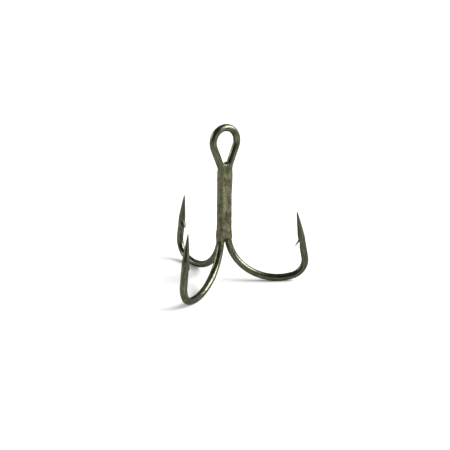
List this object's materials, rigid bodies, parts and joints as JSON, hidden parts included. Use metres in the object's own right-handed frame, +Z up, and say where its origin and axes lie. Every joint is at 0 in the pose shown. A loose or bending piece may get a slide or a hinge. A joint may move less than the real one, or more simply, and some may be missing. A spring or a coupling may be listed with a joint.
{
  "type": "treble hook",
  "caption": "Treble fishing hook: barbed round-bend hooks spread evenly round one brazed shank, with a wire eye on top.",
  "frame": {"origin": "middle of the eye, in the plane of its wire", "axes": "+Z up along the shank, from the hooks to the eye; +Y through the hole of the eye, towards the single hook; +X across the eye"},
  "size_m": [0.0382, 0.0332, 0.0409],
  "materials": {
    "bronzed_wire": "semi-gloss bronzed lacquer",
    "braze": "dull, lumpy and pitted"
  },
  "bodies": {
    "root": {"double_hook_wire": "bronzed_wire", "single_hook_wire": "bronzed_wire", "braze_core": "braze", "braze_seam_front": "braze", "braze_seam_left": "braze", "braze_seam_right": "braze"}
  },
  "joints": []
}
